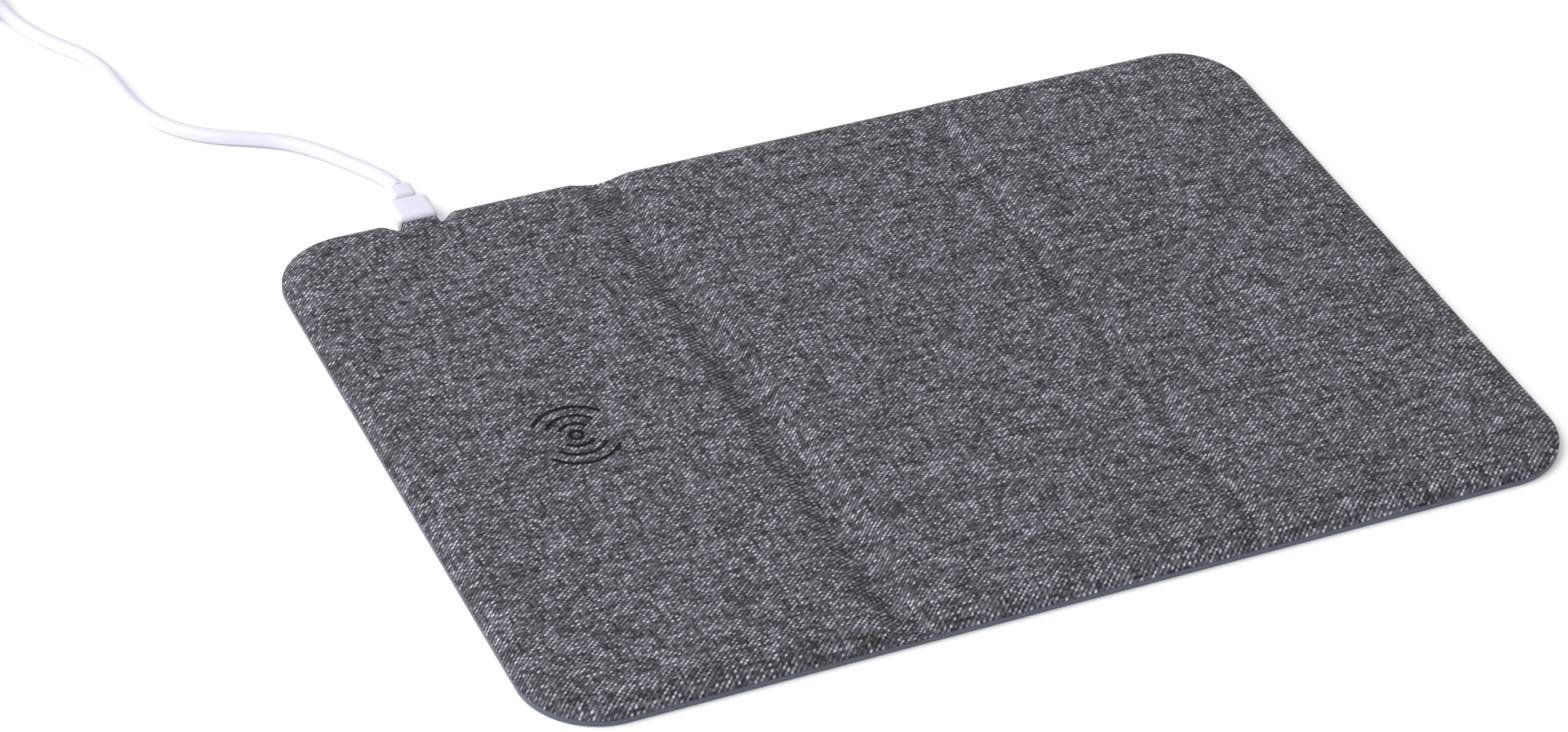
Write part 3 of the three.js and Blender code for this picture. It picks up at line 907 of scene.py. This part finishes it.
block = {"segments": 6, "uprightLeast": 1e-6, "sharpLeast": 0.6, "sharpAngle": 60}


def roundedBlock(low, high, corner, edge):
    bm = bmesh.new()
    bmesh.ops.create_cube(bm, size=1)
    low, high = Vector(low), Vector(high)
    bmesh.ops.scale(bm, vec=high - low, verts=bm.verts)
    bmesh.ops.translate(bm, vec=(low + high) / 2, verts=bm.verts)
    least, segments = block["uprightLeast"], block["segments"]
    upright = [e for e in bm.edges if abs(e.verts[0].co.z - e.verts[1].co.z) > least]
    back = [e for e in upright if e.verts[0].co.y > (low.y + high.y) / 2]
    bmesh.ops.bevel(
        bm, geom=back, offset=corner, segments=segments, profile=0.5, affect="EDGES", material=-1
    )
    flat = [e for e in bm.edges if e.is_manifold and e.calc_face_angle(0) > block["sharpLeast"]]
    bmesh.ops.bevel(
        bm, geom=flat, offset=edge, segments=segments, profile=0.5, affect="EDGES", material=-1
    )
    bmesh.ops.recalc_face_normals(bm, faces=bm.faces)
    return bm


def replacedBlock(name, node, body, material, corner, edge):
    low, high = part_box(node)
    piece = meshPiece(name, roundedBlock(low, high, corner, edge), material)
    sharpen(piece, block["sharpAngle"])
    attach(piece, body)
    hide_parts(node)
    return piece


nearBody = replacedBlock(
    "usbCOvermould",
    "usb_c_overmold",
    "usb_cable",
    whiteMaterial,
    corner=0.0019,
    edge=0.00145,
)
nearCollar = replacedBlock(
    "usbCCollar",
    "usb_c_collar",
    "usb_cable",
    whiteMaterial,
    corner=0.0012,
    edge=0.0012,
)
farBody = replacedBlock(
    "usbAOvermould",
    "usb_a_overmold",
    "usb_cable",
    whiteMaterial,
    corner=0.0024,
    edge=0.0016,
)

print("plugs made")


# Carried-over nodes keep their shape and take a real finish.

finishes = {
    "foam": (foamMaterial, ["charger_foam_frame", "middle_foam_pad", "end_foam_pad"]),
    "board": (boardMaterial, ["middle_stiffener_board", "end_stiffener_board"]),
    "case": (blackMaterial, ["charger_tray", "charger_lid", "usb_c_socket_tongue"]),
    "ferrite": (ferriteMaterial, ["ferrite_sheet", "input_inductor"]),
    "copper": (copperMaterial, ["charging_coil", "coil_inner_lead", "coil_outer_lead"]),
    "circuit_board": (maskMaterial, ["circuit_board"]),
    "chip": (resinMaterial, ["controller_chip", "power_stage_chip"]),
    "ceramic": (
        ceramicMaterial,
        ["resonant_capacitor_1", "resonant_capacitor_2", "resonant_capacitor_3"],
    ),
    "plated_steel": (
        steelMaterial,
        ["usb_c_socket_shell", "usb_c_plug_shell", "usb_a_shell", "clock_crystal"],
    ),
    "white_plastic": (whiteMaterial, ["usb_a_collar", "usb_a_tongue"]),
    "tie": (strapMaterial, ["coil_tie"]),
}


def finishNodes():
    for material, names in finishes.values():
        for name in names:
            node = frame["nodes"][name]
            node.data.materials.clear()
            node.data.materials.append(material)


finishNodes()
print("carried-over nodes finished")


# Studio

studio = {
    "floorSize": 12.0,
    "floorColor": (0.97, 0.97, 0.97),
    "floorRoughness": 0.9,
    "floorDrop": 0.00005,
    "world": (1.0, 1.0, 1.0),
    "worldStrength": 0.76,
    "keyPower": 48.0,
    "keySize": 1.9,
    "keyAt": (-1.75, 0.3, 1.3),
}


def makeStudio():
    bm = bmesh.new()
    bmesh.ops.create_grid(bm, x_segments=1, y_segments=1, size=studio["floorSize"] / 2)
    material, tree, shader = newMaterial("paleFloor")
    shader.inputs["Base Color"].default_value = (*studio["floorColor"], 1)
    shader.inputs["Roughness"].default_value = studio["floorRoughness"]
    shader.inputs["Specular IOR Level"].default_value = 0.0
    floor = meshPiece("floor", bm, material, smooth=False)
    floor.location.z = -studio["floorDrop"]
    world = bpy.data.worlds.new("softWhiteRoom")
    world.use_nodes = True
    sky = world.node_tree.nodes["Background"]
    sky.inputs["Color"].default_value = (*studio["world"], 1)
    sky.inputs["Strength"].default_value = studio["worldStrength"]
    bpy.context.scene.world = world
    data = bpy.data.lights.new("keyLight", "AREA")
    data.energy = studio["keyPower"]
    data.size = studio["keySize"]
    key = linked("keyLight", data)
    key.location = studio["keyAt"]
    key.rotation_euler = (-key.location).to_track_quat("-Z", "Y").to_euler()
    bpy.context.scene.view_settings.view_transform = "Standard"


makeStudio()
print("studio lit")
